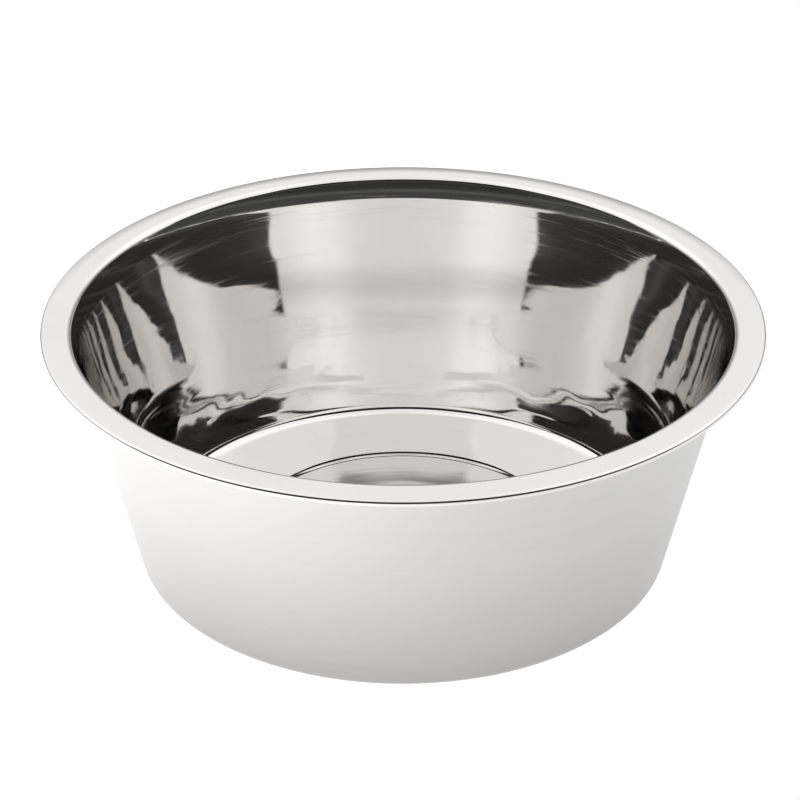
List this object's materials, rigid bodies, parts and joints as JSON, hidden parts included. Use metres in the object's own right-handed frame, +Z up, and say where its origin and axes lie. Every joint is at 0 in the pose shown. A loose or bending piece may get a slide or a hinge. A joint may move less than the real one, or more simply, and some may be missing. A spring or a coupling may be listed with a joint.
{
  "type": "stainless dog bowl",
  "caption": "Round pressed stainless feeding bowl with a sloping wall, a flange with a rolled edge, and a raised panel in the floor.",
  "frame": {"origin": "middle of the base, on the surface that the bowl stands on", "axes": "+Z up along the bowl's axis of revolution, +Y away from the camera and +X to the right in the picture"},
  "size_m": [0.25, 0.25, 0.0912],
  "materials": {
    "polished_steel": "stainless sheet polished to a near mirror, with fine polishing lines round the axis and light hairline scratches"
  },
  "bodies": {
    "root": {"bowl": "polished_steel"}
  },
  "joints": []
}
